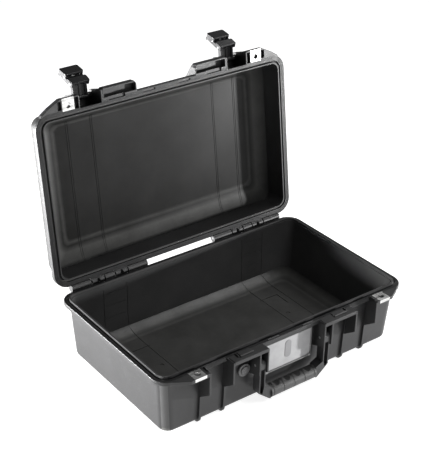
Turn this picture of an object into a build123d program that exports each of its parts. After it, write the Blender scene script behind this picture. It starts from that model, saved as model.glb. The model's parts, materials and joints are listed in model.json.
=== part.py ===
from build123d import *
import math
import os

# Hard equipment case: moulded base and lid, two two-stage pull latches with
# release triggers, folding carry handle, pressure valve and card plate.
# Millimetres.  X right along the length, +Y towards the hinges, Z up.
# Origin on the floor under the centre of the base.  Everything is drawn with
# the case shut and latched; the last section opens it to its rest pose.

# ---- driving dimensions -----------------------------------------------------
SIDES = {"left": -1, "right": 1}
WALL = 3.6                      # moulded wall
RIB_H, RIB_W = 4.0, 4.0         # outside wrap-round ribs (the case stands on them)
RIB_X = (138.2, 190.1)

BASE_Z0 = RIB_H                 # underside of the base floor
BASE_WALL_TOP = 120.0
BASE_TOP = (268.9, 155.6)       # half sizes outside, at the rim
BASE_BOT = (260.7, 151.1)       # half sizes outside, at the floor
BASE_R = 20.0                   # vertical corners
BASE_FIL = 9.0                  # outside bottom edge
BASE_IN_R = 17.0                # inside vertical corners
FLOOR_COVE = ((222.0, 112.0), 9.5)       # flat floor half sizes, rise of the cove round it

LAND_Z = 124.0                  # top of the base flange
FLANGE_T = 8.0
FLANGE = (279.0, 166.5)         # half sizes of both flanges
FLANGE_R = 30.0
LIP_Z, LIP_T = 128.0, 2.9       # raised lip that meets the seal
GROOVE_W, GROOVE_D = 3.4, 2.6

LID_Z0 = LAND_Z + 0.6           # parting face of the lid
LID_Z1 = 182.0                  # outside of the lid's top panel
LID_BOT = (268.5, 155.2)
LID_TOPW = (262.8, 150.8)
LID_R, LID_FIL = 20.0, 15.0
LID_IN_R = 16.0
LID_COVE = ((214.0, 110.0), 10.5)        # flat ceiling half sizes, rise of the cove
LID_COVE_Y = -9.5               # the flat ceiling sits this far off centre
COVE_STEP = 0.5                 # the drafted wall stands this much outside the cove
RIDGE_W, RIDGE_D = 0.9, 0.9     # fine grooves round both flanges
LID_LIP = (265.2, 152.0)        # inner lip of the lid, outside half sizes
LID_LIP_T, LID_LIP_Z = 2.6, 124.0
SEAL_Z = (128.4, 131.8)

HINGE_Y, HINGE_Z = 172.2, 127.2
LID_OPEN = 98.0
KNUCKLE_R, HINGE_PIN_R = 7.0, 2.5
KNUCKLES = (80.0, 124.8, 153.0, 176.4, 205.0, 247.6)   # base, lid, base, lid, base
KNUCKLE_GAP = 1.3

FRONT_Y = -183.5                # front of hoods, bumpers and ledges
HOOD = (65.4, 138.4)
LEDGE_T = 7.0
LID_HOOD_H, LID_HOOD_WALL = 14.0, 2.4
CATCH = ((-150, 124.0), (-159.6, 124.0), (-165.3, 119.6), (-165.3, 118.8), (-150, 118.8))
GUSSET_T = 3.4
BAY = (141.6, 188.4)            # clear width of a latch bay
PADLOCK = (209.6, -172.5, 5.6)  # x, y, radius of the padlock hole
PLATE_W, PLATE_T = 24.0, 1.2

HANDLE_PIVOT = (-171.0, 89.0)
HANDLE_ARM = (67.3, 80.3)       # inner and outer face of each arm
HANDLE_CHEEK = ((63.4, 66.7), (80.9, 84.4))
HANDLE_DEPTH = (-180.0, -162.5)
GRIP = (52.0, -171.3, 21.0, 12.5)        # half length, y, z, radius
HANDLE_PIN_R = 2.5

VALVE = (-97.6, 77.0)
VALVE_R, VALVE_STEM_R = 12.4, 6.0
VALVE_SEAT = -155.2             # outside face the valve flange sits on
CARD = (0.0, 80.0, 107.0, 60.0)          # centre x, centre z, width, height
CARD_Y = -160.0
CARD_FRAME = 2.2                # rim of the clear cover over the card

LATCH_X, LATCH_HALF = 165.0, 18.6
ARM_PIVOT, LEVER_PIVOT = (-170.0, 160.5), (-170.0, 133.5)
ARM_SWING, LEVER_SWING = 90.0, 65.0
LEVER_IN_Y, LEVER_TOP_Z, LEVER_LEN = -162.2, 144.1, 50.0
TRIGGER_PIVOT = (-168.2, 114.1)
LATCH_PIN_R, TRIGGER_PIN_R = 1.8, 1.2
RUN = 0.06                      # running clearance round a pin


# ---- helpers ----------------------------------------------------------------
def rr(hx, hy, r, z):
    """Rounded rectangle face, half sizes hx and hy, at height z."""
    return Pos(0, 0, z) * RectangleRounded(2 * hx, 2 * hy, r)


def prism(half, r, z0, z1):
    return extrude(rr(half[0], half[1], r, z0), z1 - z0)


def ring(outer, r_out, inner, r_in, z0, z1):
    return prism(outer, r_out, z0, z1) - prism(inner, r_in, z0 - 1, z1 + 1)


def grown(half, by):
    return (half[0] + by, half[1] + by)


def block(x, y, z):
    """Box from three (low, high) spans."""
    size = [abs(b - a) for a, b in (x, y, z)]
    mid = [(a + b) / 2 for a, b in (x, y, z)]
    return Pos(*mid) * Box(*size)


def span(a, b, side):
    return (side * a, side * b) if side > 0 else (side * b, side * a)


def tray(closed, opened, z_closed, z_open, r, fil, grow=0.0):
    """Drafted tray; the closed end carries the fillet, the whole grown outwards."""
    down = z_closed < z_open
    z_end = z_closed - grow if down else z_closed + grow
    body = loft([rr(*grown(closed, grow), r + grow, z_end),
                 rr(*grown(opened, grow), r + grow, z_open)], ruled=True)
    end = body.faces().sort_by(Axis.Z)[0 if down else -1]
    return fillet(end.edges(), fil + grow)


def hollow(closed, opened, z_closed, z_open, r, cove, shift=0.0, grow=0.0):
    """Inside of a tray: drafted walls, then a wide shallow cove up to a flat end."""
    (flat_x, flat_y), rise = cove
    up = 1 if z_open > z_closed else -1
    z_flat = z_closed - up * grow
    z_edge = z_closed + up * rise
    edge = [c + (o - c) * rise / abs(z_open - z_closed) for c, o in zip(closed, opened)]
    walls = loft([rr(*grown(edge, grow + COVE_STEP), r, z_edge),
                  rr(*grown(opened, grow + COVE_STEP), r, z_open)], ruled=True)
    sections = []
    for k in range(6):
        t = k / 5
        half = (edge[0] + grow + (flat_x - edge[0]) * t, edge[1] + grow + (flat_y - edge[1]) * t)
        z = z_flat + (z_edge - z_flat) * (1 - t) ** 2
        sections.append(Pos(0, shift * t, 0) * rr(*half, r - 5 * t, z))
    return walls + loft(sections)


def softened(part, r):
    """The same piece with all its edges rounded."""
    return fillet(part.edges(), r)


def side_plate(points, x):
    """(y, z) polygon extruded over the x span."""
    face = make_face(Polyline(*[(x[0], y, z) for y, z in points], close=True))
    return extrude(face, amount=x[1] - x[0], dir=(1, 0, 0))


def flat_plate(points, z):
    face = make_face(Polyline(*[(x, y, z[0]) for x, y in points], close=True))
    return extrude(face, amount=z[1] - z[0], dir=(0, 0, 1))


def bar(x, centre, r):
    """Round bar along X through (y, z)."""
    return Pos((x[0] + x[1]) / 2, *centre) * Rot(0, 90, 0) * Cylinder(r, x[1] - x[0])


def rod_y(x, z, y, r):
    """Round bar along Y through (x, z)."""
    return Pos(x, (y[0] + y[1]) / 2, z) * Rot(90, 0, 0) * Cylinder(r, abs(y[1] - y[0]))


def swing(part, pivot, degrees):
    return part.rotate(Axis((0, *pivot), (1, 0, 0)), degrees)


def lever_span(s, q):
    """Lever-local span: s down from the top end, q outwards from the inner face."""
    return ((LEVER_IN_Y - q[1], LEVER_IN_Y - q[0]), (LEVER_TOP_Z - s[1], LEVER_TOP_Z - s[0]))


# ---- base -------------------------------------------------------------------
def base_cavity(grow=0.0):
    return hollow(grown(BASE_BOT, -WALL), grown(BASE_TOP, -WALL - 0.8), BASE_Z0 + WALL, LIP_Z + 2,
                  BASE_IN_R, FLOOR_COVE, grow=grow)


def lid_cavity(grow=0.0):
    return hollow(grown(LID_TOPW, -WALL), grown(LID_LIP, -LID_LIP_T), LID_Z1 - WALL,
                  LID_LIP_Z - 1, LID_IN_R, LID_COVE, LID_COVE_Y, grow)


def ridges(start, count, z0, z1):
    """Fine grooves that follow the rim, one outside the other."""
    cut = []
    for k in range(count):
        g = start + 2.0 * k
        cut.append(ring(grown(BASE_TOP, g + RIDGE_W), BASE_R + g + RIDGE_W,
                        grown(BASE_TOP, g), BASE_R + g, z0, z1))
    return cut


def rim_flange(z0, z1):
    flange = prism(FLANGE, FLANGE_R, z0, z1)
    rims = flange.faces().filter_by(Axis.Z).edges()
    return fillet(rims, 1.2)


def base_cheek(x, drop, foot, top=LAND_Z - 1):
    return softened(side_plate([(-150, top), (FRONT_Y, top), (FRONT_Y, drop), (-150, foot)], x), 0.7)


def base_front(side):
    """Ledges, bumpers, bracket cheeks and catch on one half of the front."""
    x, y, _ = PADLOCK
    add = flat_plate([(side * 190.2, -150), (side * 190.2, FRONT_Y + 1.5), (side * 192, FRONT_Y),
                      (side * 228, FRONT_Y), (side * 250, -171), (side * 263, -162),
                      (side * 272, -150)], (LAND_Z - LEDGE_T, LAND_Z))
    add = softened(add, 0.8)
    add += softened(block(span(*HOOD, side), (FRONT_Y, -150), (LAND_Z - LEDGE_T, LAND_Z)), 1.0)
    # raised plateau, bars and locating pads; they enter the lid's hollow hoods
    add += softened(block(span(93, 120, side), (-174, -163), (LAND_Z - 2, LAND_Z + 1.6)), 0.7)
    add += softened(block(span(92, 121, side), (-175.6, -172.8), (LAND_Z - 2, LAND_Z + 3)), 1.1)
    add += softened(block(span(122.4, 125, side), (-174, -162.5), (LAND_Z - 2, LAND_Z + 2.6)), 1.0)
    add += softened(block(span(188.8, 191.4, side), (-178, -163), (LAND_Z - 2, LAND_Z + 2.6)), 1.0)
    add += softened(block(span(27, 52, side), (-163.6, -161.0), (LAND_Z - 2, LAND_Z + 2)), 0.9)
    add += base_cheek(span(BAY[1], BAY[1] + GUSSET_T, side), 78.5, 54.0)
    add += base_cheek(span(BAY[0] - GUSSET_T, BAY[0], side), 78.5, 54.0)
    for cheek in HANDLE_CHEEK:
        add += base_cheek(span(*cheek, side), 74.0, 62.0)
    # catch lip that the latch hooks under, with a sloping front
    lip_x = span(BAY[0] - 1, BAY[1] + 1, side)
    add += side_plate(CATCH, lip_x)
    return add


def base_shell():
    body = tray(BASE_BOT, BASE_TOP, BASE_Z0, BASE_WALL_TOP, BASE_R, BASE_FIL)
    wrap = tray(BASE_BOT, BASE_TOP, BASE_Z0, BASE_WALL_TOP, BASE_R, BASE_FIL, RIB_H)
    slabs = [block((s * x - RIB_W / 2, s * x + RIB_W / 2), (-200, 200), (-1, 112))
             for s in SIDES.values() for x in RIB_X]
    body += [wrap & slab for slab in slabs]
    flange = rim_flange(LAND_Z - FLANGE_T, LAND_Z)
    for s in SIDES.values():
        flange -= block(span(*BAY, s), (-200, -155.6), (100, 130))
    body += flange
    body += prism(BASE_TOP, BASE_R, LAND_Z - 6, LIP_Z)
    for s in SIDES.values():
        body += base_front(s)
        for a, b in (KNUCKLES[0:2], KNUCKLES[2:4], KNUCKLES[4:6]):
            x = span(a, b, s)
            body += bar(x, (HINGE_Y, HINGE_Z), KNUCKLE_R)
            body += side_plate([(152, 112), (160, 112), (HINGE_Y + 4.6, 122.8),
                                (HINGE_Y, HINGE_Z), (165, LAND_Z), (152, LAND_Z)], x)
        for a, b in (KNUCKLES[1:3], KNUCKLES[3:5]):
            x = span(a - KNUCKLE_GAP, b + KNUCKLE_GAP, s)
            # shelf that closes the bracket under each lid knuckle
            body += side_plate([(152, 112), (160, 112), (176, 115.4), (181, 121), (165, 121),
                                (152, 121)], x)
            body -= bar(x, (HINGE_Y, HINGE_Z), KNUCKLE_R + 1.4)
        body -= bar(span(KNUCKLES[0] - 1, KNUCKLES[5] - 3, s), (HINGE_Y, HINGE_Z), HINGE_PIN_R)
    body += rod_y(*VALVE, (VALVE_SEAT, -150), VALVE_R + 0.4)
    body += block((-RIB_X[0], RIB_X[0]), (-14, 14), (0, BASE_Z0 + 1))
    body += block((-CARD[2] / 2 - 1.5, CARD[2] / 2 + 1.5), (CARD_Y, -150),
                  (CARD[1] - CARD[3] / 2 - 1.5, LAND_Z - 6))
    # inside, seal groove and lip
    body -= ring(grown(BASE_TOP, GROOVE_W), BASE_R + GROOVE_W, BASE_TOP, BASE_R,
                 LAND_Z - GROOVE_D, LAND_Z + 1)
    body -= base_cavity()
    body -= prism(grown(BASE_TOP, -LIP_T), BASE_R - LIP_T, LAND_Z - 1, LIP_Z + 1)
    fine = base_cavity(0.9)
    marks = ridges(4.6, 2, LAND_Z - RIDGE_D, LAND_Z + 1)
    for s in SIDES.values():
        for x in RIB_X:
            marks.append(fine & block((s * x - 0.7, s * x + 0.7), (-200, 200), (0, 114)))
        for z in (50.0, 76.5, 103.0):
            marks.append(fine & block(span(144, 184, s), (140, 160), (z - 1.0, z + 1.0)))
        for x, y in (((134, 177.5), (80.0, 81.8)), ((176.0, 177.8), (44, 81.8))):
            marks.append(block(span(*x, s), y, (6.3, 9.4)))
        marks.append(Pos(s * 152, 14.8, 7.5) * Cylinder(4.6, 2.0))
        px, py, pr = PADLOCK
        marks.append(Pos(s * px, py, LAND_Z) * Cylinder(pr, 60))
        marks.append(block(span(px - PLATE_W / 2, px + PLATE_W / 2, s), (FRONT_Y, -161),
                           (LAND_Z - PLATE_T, LAND_Z + 1)))
        marks.append(block(span(px - PLATE_W / 2, px + PLATE_W / 2, s),
                           (FRONT_Y - 1, FRONT_Y + PLATE_T), (LAND_Z - 6, LAND_Z + 1)))
        marks.append(bar(span(HANDLE_CHEEK[0][0] - 1, HANDLE_CHEEK[1][1] + 1, s),
                         HANDLE_PIVOT, HANDLE_PIN_R))
    for y in (58.3, -2.2, -63.1):
        marks.append(block((-275.4, -273.0), (y - 1.4, y + 1.4), (LAND_Z - 0.8, LAND_Z + 1)))
    marks.append(rod_y(*VALVE, (-160, -140), VALVE_STEM_R))
    marks.append(block((-CARD[2] / 2, CARD[2] / 2), (CARD_Y - 1, CARD_Y + 2.4),
                       (CARD[1] - CARD[3] / 2, CARD[1] + CARD[3] / 2)))
    for mark in marks:
        body -= mark
    return body


# ---- lid (drawn shut) ---------------------------------------------------------
def lid_cheek(x):
    return softened(side_plate([(-150, LID_Z0 + 0.6), (FRONT_Y - 1, LID_Z0 + 0.6),
                                (FRONT_Y - 1, 138), (-178.5, 167.5), (-172, 171), (-148, 173)], x), 0.7)


def lid_hood(side):
    """Hollow hood over the handle: a box with rounded corners, open underneath."""
    outline = [(side * x, y) for x, y in ((HOOD[0], -150), (HOOD[0], -180), (70, FRONT_Y - 2.8),
                                          (HOOD[1] - 2, FRONT_Y - 2.8), (HOOD[1], FRONT_Y - 0.8),
                                          (HOOD[1], -150))]
    return softened(flat_plate(outline, (LID_Z0, LID_Z0 + LID_HOOD_H)), 1.1)


def lid_pockets(side):
    """Hollows in the parting face of the front: hood, padlock frame, ear."""
    w = LID_HOOD_WALL
    return [block(span(HOOD[0] + w, HOOD[1] - w, side), (FRONT_Y - 2.8 + w, -168.6),
                  (LID_Z0 - 1, LID_Z0 + LID_HOOD_H - w)),
            block(span(91.5, 126.5, side), (-169, -162.0), (LID_Z0 - 1, LAND_Z + 3.6)),
            block(span(188.4, 196.4, side), (FRONT_Y - 0.4, -162.6), (LID_Z0 - 1, LID_Z0 + 8)),
            block(span(223.4, 231, side), (FRONT_Y + 1, -166), (LID_Z0 - 1, LID_Z0 + 6)),
            block(span(26.0, 53.0, side), (-164.4, -160.2), (LID_Z0 - 1, LAND_Z + 2.8))]


def lid_shell():
    body = tray(LID_TOPW, LID_BOT, LID_Z1, LID_Z0, LID_R, LID_FIL)
    wrap = tray(LID_TOPW, LID_BOT, LID_Z1, LID_Z0, LID_R, LID_FIL, RIB_H)
    slabs = [block((s * x - RIB_W / 2, s * x + RIB_W / 2), (-200, 200), (138, 190))
             for s in SIDES.values() for x in RIB_X]
    body += [wrap & slab for slab in slabs]
    flange = rim_flange(LID_Z0, LID_Z0 + FLANGE_T + 2)
    for s in SIDES.values():
        flange -= block(span(*BAY, s), (-200, -158.4), (126.6, 140))
        flange -= block(span(*BAY, s), (-200, -161.3), (100, 140))
    body += flange
    for s in SIDES.values():
        ear = flat_plate([(s * 186.2, -150), (s * 186.2, FRONT_Y - 1), (s * 188.2, FRONT_Y - 2.5),
                          (s * 226, FRONT_Y - 2.5), (s * 250, -174), (s * 264, -165),
                          (s * 272, -150)], (LID_Z0, LID_Z0 + FLANGE_T + 2))
        body += softened(ear, 0.9)
        body += lid_hood(s)
        body += lid_cheek(span(BAY[1], BAY[1] + GUSSET_T, s))
        body += lid_cheek(span(BAY[0] - GUSSET_T, BAY[0], s))
        body += block(span(BAY[0] - 1, BAY[1] + 1, s), (-173, -146), (166, 169))
        for x0 in (HOOD[0] + 1, 100.0):
            body += side_plate([(-150, 136), (FRONT_Y, 136), (FRONT_Y, 138), (-148, 168),
                                (-140, 160)], span(x0, x0 + GUSSET_T, s))
        for x in ((BAY[0] - 1, LATCH_X - LATCH_HALF + 0.2), (LATCH_X + LATCH_HALF - 0.2, BAY[1] + 1)):
            body += bar(span(*x, s), ARM_PIVOT, 4.4)
        for a, b in (KNUCKLES[1:3], KNUCKLES[3:5]):
            x = span(a + KNUCKLE_GAP, b - KNUCKLE_GAP, s)
            body += bar(x, (HINGE_Y, HINGE_Z), KNUCKLE_R)
            body += side_plate([(154, LID_Z0 + 1), (165, LID_Z0 + 1), (HINGE_Y, HINGE_Z),
                                (HINGE_Y + 4.4, 131.8), (162, 140), (152, 142)], x)
            # bow-tie notch across each knuckle
            mid, cut = (x[0] + x[1]) / 2, Rot(0, 45, 0) * Box(8.6, 12, 8.6)
            body -= Pos(mid, HINGE_Y - 4, HINGE_Z - KNUCKLE_R - 2.2) * cut
        for a, b in (KNUCKLES[0:2], KNUCKLES[2:4], KNUCKLES[4:6]):
            body -= bar(span(a - KNUCKLE_GAP, b + KNUCKLE_GAP, s), (HINGE_Y, HINGE_Z),
                        KNUCKLE_R + 1.4)
    # inner lip, seal groove, inside
    body += prism(LID_LIP, BASE_R - 3.7, LID_LIP_Z, LID_Z0 + 1)
    body -= ring(grown(BASE_TOP, 0.8), BASE_R + 0.8, LID_LIP, BASE_R - 3.7, LID_Z0 - 1, SEAL_Z[1])
    body -= lid_cavity()
    fine = lid_cavity(0.6)
    marks = ridges(2.4, 4, LID_Z0 - 1, LID_Z0 + RIDGE_D)
    for s in SIDES.values():
        marks += lid_pockets(s)
        for x in RIB_X:
            for dx in (-1.9, 1.9):
                marks.append(fine & block((s * x + dx - 0.5, s * x + dx + 0.5), (-128, 147),
                                          (166, 190)))
        marks.append(bar(span(KNUCKLES[0] - 1, KNUCKLES[5] - 3, s), (HINGE_Y, HINGE_Z),
                         HINGE_PIN_R + RUN))
        marks.append(bar(span(BAY[0] - 9, BAY[1] + 9, s), ARM_PIVOT, LATCH_PIN_R))
        px, py, pr = PADLOCK
        marks.append(Pos(s * px, py, LID_Z0) * Cylinder(pr, 60))
        marks.append(block(span(px - PLATE_W / 2, px + PLATE_W / 2, s), (FRONT_Y - 4, -163),
                           (LID_Z0 - 1, LID_Z0 + PLATE_T)))
        marks.append(block(span(px - PLATE_W / 2, px + PLATE_W / 2, s),
                           (FRONT_Y - 4, FRONT_Y - 2.5 + PLATE_T), (LID_Z0 - 1, LID_Z0 + 6)))
    for mark in marks:
        body -= mark
    return body


def lid_seal():
    return ring(grown(BASE_TOP, 0.4), BASE_R + 0.4, grown(LID_LIP, 0.4), BASE_R - 3.3, *SEAL_Z)


# ---- metal parts --------------------------------------------------------------
def base_padlock_plate(s):
    px, py, pr = PADLOCK
    x = span(px - PLATE_W / 2, px + PLATE_W / 2, s)
    sheet = block(x, (FRONT_Y, -161), (LAND_Z - PLATE_T, LAND_Z))
    fold = block(x, (FRONT_Y, FRONT_Y + PLATE_T), (LAND_Z - 6, LAND_Z))
    return sheet + fold - Pos(s * px, py, LAND_Z) * Cylinder(pr - 0.4, 20)


def lid_padlock_plate(s):
    px, py, pr = PADLOCK
    x = span(px - PLATE_W / 2, px + PLATE_W / 2, s)
    sheet = block(x, (FRONT_Y - 2.5, -163), (LID_Z0, LID_Z0 + PLATE_T))
    fold = block(x, (FRONT_Y - 2.5, FRONT_Y - 2.5 + PLATE_T), (LID_Z0, LID_Z0 + 6))
    return sheet + fold - Pos(s * px, py, LID_Z0) * Cylinder(pr - 0.4, 20)


def hinge_pin(s):
    return bar(span(KNUCKLES[0] + 0.5, KNUCKLES[5] - 3, s), (HINGE_Y, HINGE_Z), HINGE_PIN_R)


# ---- handle -------------------------------------------------------------------
def handle_frame():
    half, gy, gz, gr = GRIP
    a, b = HANDLE_ARM
    outline = [(a, 40), (half + 0.1, 33.4), (half + 0.1, 10.5), (55, 10.5), (b, 31), (b, 90),
               (a, 90)]
    body = bar((-half - 2, half + 2), (gy, gz), 8.0)
    for s in SIDES.values():
        face = make_face(Polyline(*[(s * x, HANDLE_DEPTH[0], z) for x, z in outline], close=True))
        body += extrude(face, amount=HANDLE_DEPTH[1] - HANDLE_DEPTH[0], dir=(0, 1, 0))
        body += bar(span(a, b, s), HANDLE_PIVOT, 8.6)
    for s in SIDES.values():
        pocket = [(a + 2.2, 40), (a + 2.2, 80), (b - 2.2, 80), (b - 2.2, 32), (b - 8, 27)]
        for y in ((HANDLE_DEPTH[0] - 1, HANDLE_DEPTH[0] + 6.8), (HANDLE_DEPTH[1] - 6.8, HANDLE_DEPTH[1] + 1)):
            face = make_face(Polyline(*[(s * x, y[0], z) for x, z in pocket], close=True))
            body -= extrude(face, amount=y[1] - y[0], dir=(0, 1, 0))
        body -= block(span(a - 1, b + 1, s), (-190, -150), (97.8, 110))
        body -= bar(span(a - 1, b + 1, s), HANDLE_PIVOT, HANDLE_PIN_R + RUN)
    return body


def handle_grip():
    half, gy, gz, gr = GRIP
    body = bar((-half, half), (gy, gz), gr)
    for x in (-36.0, -12.0, 12.0, 36.0):
        body -= rod_y(x, gz + gr + 10.5, (gy - 20, gy + 20), 13.0)
    for x in (-47.0, -24.0, 0.0, 24.0, 47.0):
        body -= bar((x - 0.6, x + 0.6), (gy, gz), gr + 1) - bar((x - 1, x + 1), (gy, gz), gr - 0.7)
    return body - bar((-half - 1, half + 1), (gy, gz), 8.0)


def handle_pin(s):
    return bar(span(HANDLE_CHEEK[0][0], HANDLE_CHEEK[1][1], s), HANDLE_PIVOT, HANDLE_PIN_R)


# ---- pressure valve -----------------------------------------------------------
def valve_parts():
    x, z = VALVE
    body = rod_y(x, z, (VALVE_SEAT - 3.5, VALVE_SEAT), VALVE_R) + rod_y(x, z, (VALVE_SEAT, -144), VALVE_STEM_R)
    body -= rod_y(x, z, (VALVE_SEAT - 4, VALVE_SEAT - 1.5), 8.0)
    body -= rod_y(x, z, (VALVE_SEAT - 2, -143), 1.8)
    cap = rod_y(x, z, (VALVE_SEAT - 5.2, VALVE_SEAT - 1.5), 7.4)
    cap -= rod_y(x, z, (VALVE_SEAT - 3.2, VALVE_SEAT - 1), 5.4)
    for place in PolarLocations(4.2, 6):
        hole = place.position
        cap -= rod_y(x + hole.X, z + hole.Y, (VALVE_SEAT - 6, VALVE_SEAT - 2), 0.6)
    membrane = rod_y(x, z, (VALVE_SEAT - 2.0, VALVE_SEAT - 1.5), 5.0)
    seat = (VALVE_SEAT - 1.2, VALVE_SEAT)
    seal = rod_y(x, z, seat, 10.4) - rod_y(x, z, (seat[0] - 1, seat[1] + 1), 8.4)
    body -= seal
    nut = Pos(x, -147.0, z) * Rot(90, 0, 0) * extrude(RegularPolygon(9.0, 6), 2.0, both=True)
    nut -= rod_y(x, z, (-160, -140), VALVE_STEM_R)
    return {"valve_body": body, "valve_cap": cap, "valve_membrane": membrane,
            "valve_seal": seal, "valve_nut": nut}


# ---- card plate ---------------------------------------------------------------
def card_plate():
    """Card behind the cover, with a plain raised mark."""
    w, h = CARD[2] - 0.2, CARD[3] - 0.2
    plate = block((-w / 2, w / 2), (CARD_Y + 1.0, CARD_Y + 2.4), (CARD[1] - h / 2, CARD[1] + h / 2))
    slot = Rot(90, 0, 0) * extrude(SlotOverall(36, 14, rotation=90), 0.8)
    return plate + Pos(0, CARD_Y + 1.2, CARD[1] + 4.5) * slot


def card_cover():
    """Rim of the snap-in cover, with a bottom rail and a clip at each lower corner."""
    w, h, t = CARD[2] - 0.2, CARD[3] - 0.2, CARD_FRAME
    z0, z1 = CARD[1] - h / 2, CARD[1] + h / 2
    rim = block((-w / 2, w / 2), (CARD_Y - 0.4, CARD_Y + 1.0), (z0, z1))
    rim -= block((-w / 2 + t / 2, w / 2 - t / 2), (CARD_Y - 2, CARD_Y + 2), (z0 + t, z1 - t / 2))
    rail = block((-w / 2 + 4, w / 2 - 4), (CARD_Y - 1.6, CARD_Y), (z0 + 0.2, z0 + 1.8))
    rim += softened(rail, 0.5)
    for s in SIDES.values():
        rim += softened(block(span(w / 2 - 7, w / 2 - 1, s), (CARD_Y - 2.4, CARD_Y + 0.5),
                              (z0, z0 + 4.5)), 0.7)
    return rim


# ---- latches (drawn shut) -------------------------------------------------------
def latch_arm(s):
    """Link between lid and lever: two rails joined by a thin web."""
    y, z = ARM_PIVOT
    half = LATCH_HALF - 3.8
    full = span(LATCH_X - LATCH_HALF + 0.7, LATCH_X + LATCH_HALF - 0.7, s)
    web = span(LATCH_X - half, LATCH_X + half, s)
    body = bar(full, ARM_PIVOT, 4.4) + bar(web, LEVER_PIVOT, 4.0)
    body += block(web, (y - 1.6, y + 1.6), (LEVER_PIVOT[1], z))
    for a, b in ((-half, -half + 4.6), (half - 4.6, half)):
        body += block(span(LATCH_X + a, LATCH_X + b, s), (y - 4.3, y + 4.0), (LEVER_PIVOT[1], z))
    body += block(span(LATCH_X - 2, LATCH_X + 2, s), (y - 3.4, y + 3.4), (LEVER_PIVOT[1], z))
    return body - bar(full, ARM_PIVOT, LATCH_PIN_R + RUN) - bar(web, LEVER_PIVOT, LATCH_PIN_R)


def lever_slab(s, half, sq, q_near, q_far, t, r):
    """Rounded plate across the lever; its inner face runs from q_near to q_far."""
    length, mid = sq[1] - sq[0], (sq[0] + sq[1]) / 2
    lean = math.degrees(math.atan2(q_far - q_near, length))
    slab = Rot(90, 0, 0) * extrude(RectangleRounded(2 * half, length, r), t)
    rims = slab.faces().filter_by(Axis.Y).edges()
    slab = Rot(-lean, 0, 0) * fillet(rims, 0.6)
    return Pos(s * LATCH_X, LEVER_IN_Y - (q_near + q_far) / 2, LEVER_TOP_Z - mid) * slab


def latch_lever(s):
    """Pull lever: upper plate by the pivot, catch plate below, cheeks and outer cover."""
    def part(dx, sq, qq):
        y, z = lever_span(sq, qq)
        return block(span(LATCH_X + dx[0], LATCH_X + dx[1], s), y, z)

    w, c = LATCH_HALF - 0.4, LATCH_HALF - 3.0
    top, inner = LEVER_TOP_Z, LEVER_IN_Y
    local = [(2.5, 1), (2.5, 9.2), (5, 11.6), (48, 11.6), (48.6, 1.4), (26.2, -1.8), (26.2, 4.6),
             (19.2, 4.6), (19.2, 1)]
    cheek = [(inner - q, top - d) for d, q in local]
    body = None
    for dx in ((-w, -c), (c, w)):
        piece = softened(side_plate(cheek, span(LATCH_X + dx[0], LATCH_X + dx[1], s)), 0.4)
        body = piece if body is None else body + piece
    body += part((-w, w), (15.8, 50), (8.8, 11.8))          # cover
    body += part((-w, w), (47.0, 50), (8.8, 13.6))          # pull edge
    body += lever_slab(s, LATCH_HALF + 0.6, (2.6, 19.4), 0.2, 0.2, 2.3, 2.5)
    body += lever_slab(s, LATCH_HALF + 0.9, (25.8, 50.4), -3.4, -0.2, 2.8, 4.0)
    body -= part((-13, 13), (26.2, 46.9), (7, 15))          # trigger window
    body -= part((-2.6, 2.6), (20.4, 25.2), (4, 15))        # sight slot
    body -= bar(span(LATCH_X - w - 1, LATCH_X + w + 1, s), LEVER_PIVOT, LATCH_PIN_R + RUN)
    return body - bar(span(LATCH_X - w - 1, LATCH_X + w + 1, s), TRIGGER_PIVOT, TRIGGER_PIN_R)


def latch_trigger(s):
    """Release button in the lever's window, with finger ridges outside."""
    body = block(span(LATCH_X - 12.4, LATCH_X + 12.4, s), *lever_span((27.0, 45.6), (4.4, 12.6)))
    body = softened(body, 0.8)
    for k in (34.0, 37.5, 41.0):
        body -= block(span(LATCH_X - 10, LATCH_X + 10, s), *lever_span((k, k + 1.2), (12.0, 13.0)))
    body -= block(span(LATCH_X - 3.4, LATCH_X + 3.4, s), *lever_span((26, 36), (3, 9.4)))
    return body - bar(span(LATCH_X - 13, LATCH_X + 13, s), TRIGGER_PIVOT, TRIGGER_PIN_R + RUN)


def trigger_spring(s):
    """Small coil on the trigger pin."""
    y, z = TRIGGER_PIVOT
    coil = bar(span(LATCH_X - 2.6, LATCH_X + 2.6, s), (y, z), 1.9)
    return coil - bar(span(LATCH_X - 4, LATCH_X + 4, s), (y, z), TRIGGER_PIN_R)


# ---- open to the rest pose and write ----------------------------------------------
def open_lid(part):
    return swing(part, (HINGE_Y, HINGE_Z), -LID_OPEN)


def open_arm(part):
    return open_lid(swing(part, ARM_PIVOT, -ARM_SWING))


def open_lever(part):
    return open_arm(swing(part, LEVER_PIVOT, -LEVER_SWING))


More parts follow.
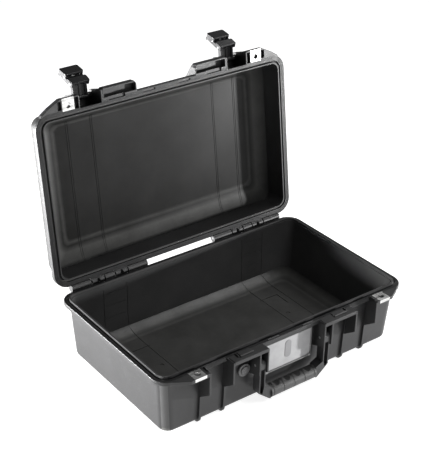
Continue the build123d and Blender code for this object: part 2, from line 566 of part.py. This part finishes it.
nodes = {"base_shell": base_shell(), "lid_shell": open_lid(lid_shell()),
         "lid_seal": open_lid(lid_seal()), "card_plate": card_plate(), "card_cover": card_cover(),
         "handle_frame": handle_frame(), "handle_grip": handle_grip(), **valve_parts()}
pin_x = (LATCH_X - LATCH_HALF + 0.4, LATCH_X + LATCH_HALF - 0.4)
for name, s in SIDES.items():
    nodes["base_padlock_plate_" + name] = base_padlock_plate(s)
    nodes["lid_padlock_plate_" + name] = open_lid(lid_padlock_plate(s))
    nodes["hinge_pin_" + name] = hinge_pin(s)
    nodes["handle_pin_" + name] = handle_pin(s)
    nodes["latch_pivot_pin_" + name] = open_lid(
        bar(span(BAY[0] - GUSSET_T, BAY[1] + GUSSET_T, s), ARM_PIVOT, LATCH_PIN_R))
    nodes["latch_arm_" + name] = open_arm(latch_arm(s))
    nodes["lever_pin_" + name] = open_arm(bar(span(*pin_x, s), LEVER_PIVOT, LATCH_PIN_R))
    nodes["latch_lever_" + name] = open_lever(latch_lever(s))
    nodes["trigger_pin_" + name] = open_lever(bar(span(*pin_x, s), TRIGGER_PIVOT, TRIGGER_PIN_R))
    nodes["trigger_spring_" + name] = open_lever(trigger_spring(s))
    nodes["latch_trigger_" + name] = open_lever(latch_trigger(s))

os.makedirs("parts", exist_ok=True)
for name, shape in nodes.items():
    solids = shape.solids()
    if len(solids) != 1:
        print(name, "has", len(solids), "solids:", [round(x.volume, 2) for x in solids])
    export_step(Compound(children=solids) if len(solids) > 1 else solids[0],
                "parts/" + name + ".step")
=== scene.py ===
import json
import math

import bpy
from mathutils import Matrix, Vector

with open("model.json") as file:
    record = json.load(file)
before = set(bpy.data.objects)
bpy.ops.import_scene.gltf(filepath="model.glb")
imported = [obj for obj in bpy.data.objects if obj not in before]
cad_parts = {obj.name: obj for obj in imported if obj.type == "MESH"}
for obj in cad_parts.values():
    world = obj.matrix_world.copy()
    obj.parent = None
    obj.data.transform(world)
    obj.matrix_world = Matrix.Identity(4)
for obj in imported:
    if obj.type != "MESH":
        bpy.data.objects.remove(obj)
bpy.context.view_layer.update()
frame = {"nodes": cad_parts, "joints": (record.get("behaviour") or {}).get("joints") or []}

NODES = frame["nodes"]

# The lid is drawn open. Its material turns it back about the hinge to find its regions.
LID_JOINT = next(joint for joint in frame["joints"] if joint["name"] == "lid_hinge")
HINGE = Vector(LID_JOINT["pos_m"])
LID_OPEN = -LID_JOINT["range_deg"][0]

# Camera, in metres and degrees, placed so that the case stands as it does in the photo.
AZIMUTH, ELEVATION, ROLL = -36.04, 29.32, 0.572
CAMERA_AT = (-1.1443, -1.42328, 1.27358)
SENSOR_WIDTH, LENS = 36.0, 90.49
SHIFT_X, SHIFT_Y = 0.0608, -0.0005
CLIP_END = 60

# Materials.
CLOUD_SCALE = 9.0               # soft patches of lighter and darker plastic
CLOUD_STOPS = (0.32, 0.7)
EDGE_HIGHLIGHT_SHARE = 0.08                # how far the painted highlight colour covers a convex edge
EDGE_POINTINESS = (0.53, 0.62)

# Raised oval on the card, in metres.
OVAL_MIDDLE_Z = 0.0845
OVAL_HALF_STRAIGHT = 0.011
OVAL_EDGE = (0.0066, 0.0074)    # from inside to outside of its soft edge

# Stage: name, place, target, size and power of each area light.
LIGHTS = (
    ("left_back", (-1.6, 0.95, 0.14), (-0.27, 0.0, 0.08), (0.9, 0.24), 190),
    ("front_right", (2.0, -1.3, 0.16), (0.0, -0.15, 0.08), (0.12, 0.12), 85),
    ("top_right", (1.1, 0.3, 1.8), (0.0, 0.0, 0.05), (0.8, 0.8), 13),
    ("top_front", (0.5, -1.6, 1.7), (0.0, 0.0, 0.06), (0.6, 0.6), 13),
)
WORLD_STRENGTH = 0.12
FLOOR_SIZE = 60
FLOOR_GLOW = 0.74               # lifts the floor to the white of the photo's background


def make_camera():
    azimuth, elevation, roll = (math.radians(a) for a in (AZIMUTH, ELEVATION, ROLL))
    back = Vector((math.sin(azimuth) * math.cos(elevation),
                   -math.cos(azimuth) * math.cos(elevation),
                   math.sin(elevation)))
    level_x = Vector((0, 0, 1)).cross(back).normalized()
    level_y = back.cross(level_x)
    x = math.cos(roll) * level_x + math.sin(roll) * level_y
    y = -math.sin(roll) * level_x + math.cos(roll) * level_y
    matrix = Matrix((x, y, back)).transposed().to_4x4()
    matrix.translation = CAMERA_AT
    data = bpy.data.cameras.new("camera")
    data.sensor_width, data.lens = SENSOR_WIDTH, LENS
    data.shift_x, data.shift_y = SHIFT_X, SHIFT_Y
    data.clip_end = CLIP_END
    camera = bpy.data.objects.new("camera", data)
    camera.matrix_world = matrix
    bpy.context.scene.collection.objects.link(camera)
    bpy.context.scene.camera = camera


# ---- materials ------------------------------------------------------------------
def grey(value, blue=0.0):
    """A grey with its blue raised or lowered a little."""
    return (value, value, value + blue)


class Mat:
    """A small builder for one procedural material."""

    def __init__(self, name):
        self.mat = bpy.data.materials.new(name)
        self.mat.use_nodes = True
        self.tree = self.mat.node_tree
        self.bsdf = self.tree.nodes["Principled BSDF"]
        self.coord = self.tree.nodes.new("ShaderNodeTexCoord").outputs["Object"]

    def node(self, kind, **values):
        n = self.tree.nodes.new(kind)
        for key, value in values.items():
            if key in n.inputs:
                n.inputs[key].default_value = value
            else:
                setattr(n, key, value)
        return n

    def link(self, a, b):
        self.tree.links.new(a, b)

    def finish(self, output, name):
        """Sends an output to one of the surface's own inputs."""
        self.link(output, self.bsdf.inputs[name])

    def noise(self, scale, detail=4.0, rough=0.6, stretch=None):
        n = self.node("ShaderNodeTexNoise", Scale=scale, Detail=detail, Roughness=rough)
        source = self.coord
        if stretch:
            mapping = self.node("ShaderNodeMapping", Scale=stretch)
            self.link(self.coord, mapping.inputs["Vector"])
            source = mapping.outputs["Vector"]
        self.link(source, n.inputs["Vector"])
        return n.outputs["Fac"]

    def ramp(self, fac, stops):
        n = self.node("ShaderNodeValToRGB")
        elements = n.color_ramp.elements
        while len(elements) < len(stops):
            elements.new(0.5)
        for element, (position, colour) in zip(elements, stops):
            element.position = position
            element.color = (*colour, 1.0)
        self.link(fac, n.inputs["Fac"])
        return n.outputs["Color"]

    def cloud(self, dark, light):
        """Soft patches between two colours."""
        low, high = CLOUD_STOPS
        return self.ramp(self.noise(CLOUD_SCALE, 5.0), [(low, dark), (high, light)])

    def remap(self, fac, lo, hi, from_lo=0.3, from_hi=0.7):
        n = self.node("ShaderNodeMapRange")
        for key, value in (("From Min", from_lo), ("From Max", from_hi), ("To Min", lo),
                           ("To Max", hi)):
            n.inputs[key].default_value = value
        self.link(fac, n.inputs["Value"])
        return n.outputs["Result"]

    def bump(self, fac, strength, distance, chain=None):
        n = self.node("ShaderNodeBump", Strength=strength, Distance=distance)
        self.link(fac, n.inputs["Height"])
        if chain:
            self.link(chain, n.inputs["Normal"])
        self.finish(n.outputs["Normal"], "Normal")
        return n.outputs["Normal"]

    def mix(self, fac, a, b):
        n = self.node("ShaderNodeMix", data_type="RGBA")
        self.link(fac, n.inputs[0])
        for socket, value in ((n.inputs[6], a), (n.inputs[7], b)):
            if isinstance(value, tuple):
                socket.default_value = (*value, 1.0)
            else:
                self.link(value, socket)
        return n.outputs[2]

    def calc(self, operation, a, b=None):
        n = self.node("ShaderNodeMath", operation=operation)
        for socket, value in zip(n.inputs, (a, b)):
            if isinstance(value, (int, float)):
                socket.default_value = value
            elif value is not None:
                self.link(value, socket)
        return n.outputs[0]

    def times(self, a, b):
        return self.calc("MULTIPLY", a, b)

    def line(self, a, slope, start):
        return self.calc("ADD", self.times(a, slope), start)

    def split(self, vector):
        n = self.node("ShaderNodeSeparateXYZ")
        self.link(vector, n.inputs["Vector"])
        return [n.outputs[axis] for axis in "XYZ"]

    def paint_edge_highlight(self, colour, edge_highlight_colour):
        """Paints a highlight thinly over convex edges, a lighter colour in place of the light
        the edges catch.
        """
        geometry = self.node("ShaderNodeNewGeometry")
        edges = self.remap(geometry.outputs["Pointiness"], 0.0, 1.0, *EDGE_POINTINESS)
        return self.mix(self.times(edges, EDGE_HIGHLIGHT_SHARE), colour, edge_highlight_colour)


def plastic(name, dark, light, rough, grain=1400.0, grain_bump=0.25):
    """Moulded plastic or rubber, cloudy and finely grained."""
    m = Mat(name)
    fine = m.noise(grain, 2.0, 0.5)
    fleck = tuple(min(1, 1.7 * c + 0.006) for c in light)
    # Painted highlight: a light colour for convex edges, in place of the light they catch.
    edge_highlight_colour = tuple(min(1, 3 * c + 0.03) for c in light)
    speckled = m.mix(m.remap(fine, 0.0, 0.35), m.cloud(dark, light), fleck)
    m.finish(m.paint_edge_highlight(speckled, edge_highlight_colour), "Base Color")
    m.finish(m.remap(m.noise(26.0, 6.0), rough - 0.06, rough + 0.08), "Roughness")
    first = m.bump(m.noise(grain / 3, 3.0), grain_bump * 0.6, 0.0004)
    m.bump(fine, grain_bump, 0.0002, first)
    return m.mat


def regions(m, wall, panel_z, open_deg):
    """Finds a shell's inside and its smooth end panel, each as a mask, and z when shut."""
    turn = Matrix.Rotation(math.radians(open_deg), 3, "X")
    shut = m.node("ShaderNodeMapping", Rotation=(math.radians(open_deg), 0, 0),
                  Location=tuple(HINGE - turn @ HINGE))
    m.link(m.coord, shut.inputs["Vector"])
    x, y, z = m.split(shut.outputs["Vector"])
    rise = m.calc("SUBTRACT", z, wall["z"])
    within_x = m.calc("LESS_THAN", m.calc("ABSOLUTE", x),
                      m.line(rise, wall["slope_x"], wall["half_x"]))
    within_y = m.calc("LESS_THAN", m.calc("ABSOLUTE", y),
                      m.line(rise, wall["slope_y"], wall["half_y"]))
    inside = m.times(within_x, within_y)
    in_height = m.times(m.calc("GREATER_THAN", z, panel_z[0]),
                        m.calc("LESS_THAN", z, panel_z[1]))
    return inside, m.times(inside, in_height), z


def painted_cove_highlight(m, z, panel):
    """Painted highlight bands along the smooth panel's cove, following its height, broken into
    lighter and darker streaks.
    """
    depth = m.remap(z, 0.0, 1.0, panel["flat_z"], panel["edge_z"])
    streak = m.remap(m.noise(16.0, 7.0, 0.7), 0.0, 1.0, 0.3, 0.7)
    dark, light = ([(t, (k * v, k * v, 0.96 * k * v)) for t, v in panel["stops"]]
                   for k in (0.7, 1.3))
    return m.mix(streak, m.ramp(depth, dark), m.ramp(depth, light))


def shell(name, wall, panel_z, inner, panel, open_deg=0.0):
    """Moulding with a dark grained outside, a grained inside painted paler for the light
    that falls inside, and a smooth end panel with painted highlight bands along its cove.

    wall holds the half widths of the middle of the drafted wall at height z, and how they
    change with height. panel_z is the low and high z of the smooth panel. inner and panel
    hold colours and specular levels, panel's colours running from its flat to its edge.
    inner's colours are painted light, and panel's colours are painted highlight bands.
    """
    m = Mat(name)
    inside, smooth, z = regions(m, wall, panel_z, open_deg)
    fine = m.noise(1500.0, 2.0, 0.5)
    outer = m.cloud(grey(0.007, 0.0005), grey(0.012, 0.0005))
    # Painted light: the inside is coloured paler than the outside, in place of the light that
    # falls inside.
    inside_painted_light = m.cloud(grey(inner["dark"], 0.0002), grey(inner["light"], 0.0002))
    # The smooth panel takes painted highlight bands along its cove.
    colour = m.mix(smooth, m.mix(inside, outer, inside_painted_light), painted_cove_highlight(m, z, panel))
    flecks = m.times(m.remap(fine, 0.0, 0.3), m.calc("SUBTRACT", 1.0, smooth))
    grained = m.mix(flecks, colour, grey(0.028, 0.001))
    # Painted highlight: a light grey laid over convex edges, in place of the light they catch.
    m.finish(m.paint_edge_highlight(grained, grey(0.16)), "Base Color")

    patches = m.ramp(m.noise(30.0, 6.0), [(0.3, grey(0.40)), (0.7, grey(0.50))])
    m.finish(m.mix(smooth, patches, grey(0.36)), "Roughness")

    outside_specular = 0.5
    level = m.line(inside, inner["specular"] - outside_specular, outside_specular)
    smudges = m.remap(m.noise(4.5, 6.0, 0.65), 0.75 * panel["specular"] - inner["specular"],
                      1.3 * panel["specular"] - inner["specular"], 0.35, 0.65)
    m.finish(m.calc("ADD", level, m.times(smooth, smudges)), "Specular IOR Level")

    first = m.bump(m.noise(480.0, 3.0), 0.12, 0.0004)
    m.bump(m.times(fine, m.line(smooth, -0.85, 1.0)), 0.3, 0.0002, first)
    return m.mat


def steel(name, dark, light, rough, along=(6.0, 900.0, 900.0)):
    """Brushed metal, with along the noise scale on each axis."""
    m = Mat(name)
    m.bsdf.inputs["Metallic"].default_value = 1.0
    brushed = m.noise(1.0, 3.0, 0.5, along)
    m.finish(m.ramp(brushed, [(0.3, dark), (0.7, light)]), "Base Color")
    m.finish(m.remap(m.noise(60.0), rough - 0.06, rough + 0.1), "Roughness")
    m.bump(brushed, 0.12, 0.0002)
    return m.mat


def card():
    """Silvery card with a darker plain oval."""
    m = Mat("card_face")
    x, _, z = m.split(m.coord)
    from_middle = m.calc("ABSOLUTE", m.calc("SUBTRACT", z, OVAL_MIDDLE_Z))
    up = m.calc("MAXIMUM", m.calc("SUBTRACT", from_middle, OVAL_HALF_STRAIGHT), 0.0)
    reach = m.calc("SQRT", m.calc("ADD", m.times(x, x), m.times(up, up)))
    oval = m.remap(reach, 1.0, 0.0, *OVAL_EDGE)
    paper = m.ramp(m.noise(22.0, 5.0, 0.6), [(0.3, grey(0.27, 0.005)), (0.7, grey(0.36, 0.005))])
    m.finish(m.mix(oval, paper, grey(0.2, 0.005)), "Base Color")
    m.finish(m.remap(m.noise(40.0), 0.42, 0.55), "Roughness")
    m.bump(m.noise(300.0, 3.0), 0.08, 0.0002)
    return m.mat


# ---- which piece has which material ---------------------------------------------
def give(material, *names):
    for name in names:
        node = NODES[name]
        node.data.materials.clear()
        node.data.materials.append(material)


def pair(name):
    return [name + "_left", name + "_right"]


def dress_base():
    give(shell("base_moulding",
               wall={"half_x": 0.2589, "half_y": 0.1493, "z": 0.004,
                     "slope_x": 0.0707, "slope_y": 0.0388},
               panel_z=(0.005, 0.0173),
               # Painted light: the base's inside colours are raised for the light reaching
               # inside the base.
               inner={"dark": 0.05, "light": 0.08, "specular": 0.5},
               panel={"flat_z": 0.0076, "edge_z": 0.0171, "specular": 0.5,
                      # Painted highlight: lighter stops mark where the floor's cove would catch
                      # light.
                      "stops": ((0.0, 0.048), (0.02, 0.08), (0.08, 0.05), (0.3, 0.1),
                                (0.55, 0.08), (1.0, 0.045))}),
         "base_shell")


def dress_lid():
    give(shell("lid_moulding",
               wall={"half_x": 0.2668, "half_y": 0.1535, "z": 0.1246,
                     "slope_x": -0.0993, "slope_y": -0.0767},
               panel_z=(0.1676, 0.1802),
               # Painted light: the lid's inside colours, darker than the base's, stand in for
               # how light falls inside the open lid.
               inner={"dark": 0.021, "light": 0.036, "specular": 0.3},
               panel={"flat_z": 0.1784, "edge_z": 0.1679, "specular": 0.12,
                      # Painted highlight: lighter stops mark where the lid's cove would catch
                      # light.
                      "stops": ((0.0, 0.009), (0.015, 0.034), (0.06, 0.007), (0.22, 0.042),
                                (0.5, 0.03), (1.0, 0.016))},
               open_deg=LID_OPEN),
         "lid_shell")


def dress_plastic():
    give(plastic("latch_moulding", grey(0.008, 0.001), grey(0.015, 0.001), 0.28, 1800.0, 0.12),
         *pair("latch_arm"), *pair("latch_lever"), *pair("latch_trigger"), "valve_nut")
    give(plastic("valve_moulding", grey(0.05, 0.001), grey(0.09, 0.001), 0.26, 1800.0, 0.1),
         "valve_body", "valve_cap")
    give(plastic("cover_rim", grey(0.10), grey(0.2), 0.22, 1800.0, 0.1), "card_cover")
    give(plastic("handle_moulding", grey(0.012, 0.001), grey(0.024, 0.001), 0.34),
         "handle_frame")


def dress_soft():
    give(plastic("grip_rubber", grey(0.026), grey(0.04), 0.42, 2200.0, 0.3), "handle_grip")
    give(plastic("seal_rubber", grey(0.02), grey(0.035), 0.7, 2600.0, 0.4),
         "lid_seal", "valve_seal")
    give(plastic("vent_membrane", grey(0.6, -0.02), grey(0.75, -0.02), 0.8, 2600.0, 0.3),
         "valve_membrane")


def dress_metal():
    give(steel("padlock_steel", grey(0.48, -0.01), grey(0.86, -0.01), 0.26,
               (9.0, 260.0, 260.0)),
         *pair("base_padlock_plate"), *pair("lid_padlock_plate"))
    give(steel("pin_steel", grey(0.3), grey(0.5), 0.3), *pair("hinge_pin"),
         *pair("handle_pin"), *pair("latch_pivot_pin"), *pair("lever_pin"),
         *pair("trigger_pin"), *pair("trigger_spring"))
    give(card(), "card_plate")


# ---- stage ----------------------------------------------------------------------
def area(name, at, target, size, power):
    data = bpy.data.lights.new(name, "AREA")
    data.shape, data.size, data.size_y = "RECTANGLE", size[0], size[1]
    data.energy = power
    lamp = bpy.data.objects.new(name, data)
    lamp.location = at
    lamp.rotation_euler = (Vector(target) - Vector(at)).to_track_quat("-Z", "Y").to_euler()
    bpy.context.scene.collection.objects.link(lamp)


def make_floor():
    bpy.ops.mesh.primitive_plane_add(size=FLOOR_SIZE)
    floor = bpy.context.object
    floor.name = "floor"
    m = Mat("floor_paper")
    m.finish(m.ramp(m.noise(3.0), [(0.3, grey(0.80)), (0.7, grey(0.82))]), "Base Color")
    m.bsdf.inputs["Roughness"].default_value = 0.9
    m.bsdf.inputs["Emission Color"].default_value = (1, 1, 1, 1)
    m.bsdf.inputs["Emission Strength"].default_value = FLOOR_GLOW
    floor.data.materials.append(m.mat)


def make_stage():
    world = bpy.data.worlds.new("studio")
    bpy.context.scene.world = world
    world.use_nodes = True
    background = world.node_tree.nodes["Background"]
    background.inputs["Color"].default_value = (1, 1, 1, 1)
    background.inputs["Strength"].default_value = WORLD_STRENGTH
    make_floor()
    for light in LIGHTS:
        area(*light)
    bpy.context.scene.view_settings.view_transform = "Standard"


make_camera()
dress_base()
dress_lid()
dress_plastic()
dress_soft()
dress_metal()
make_stage()
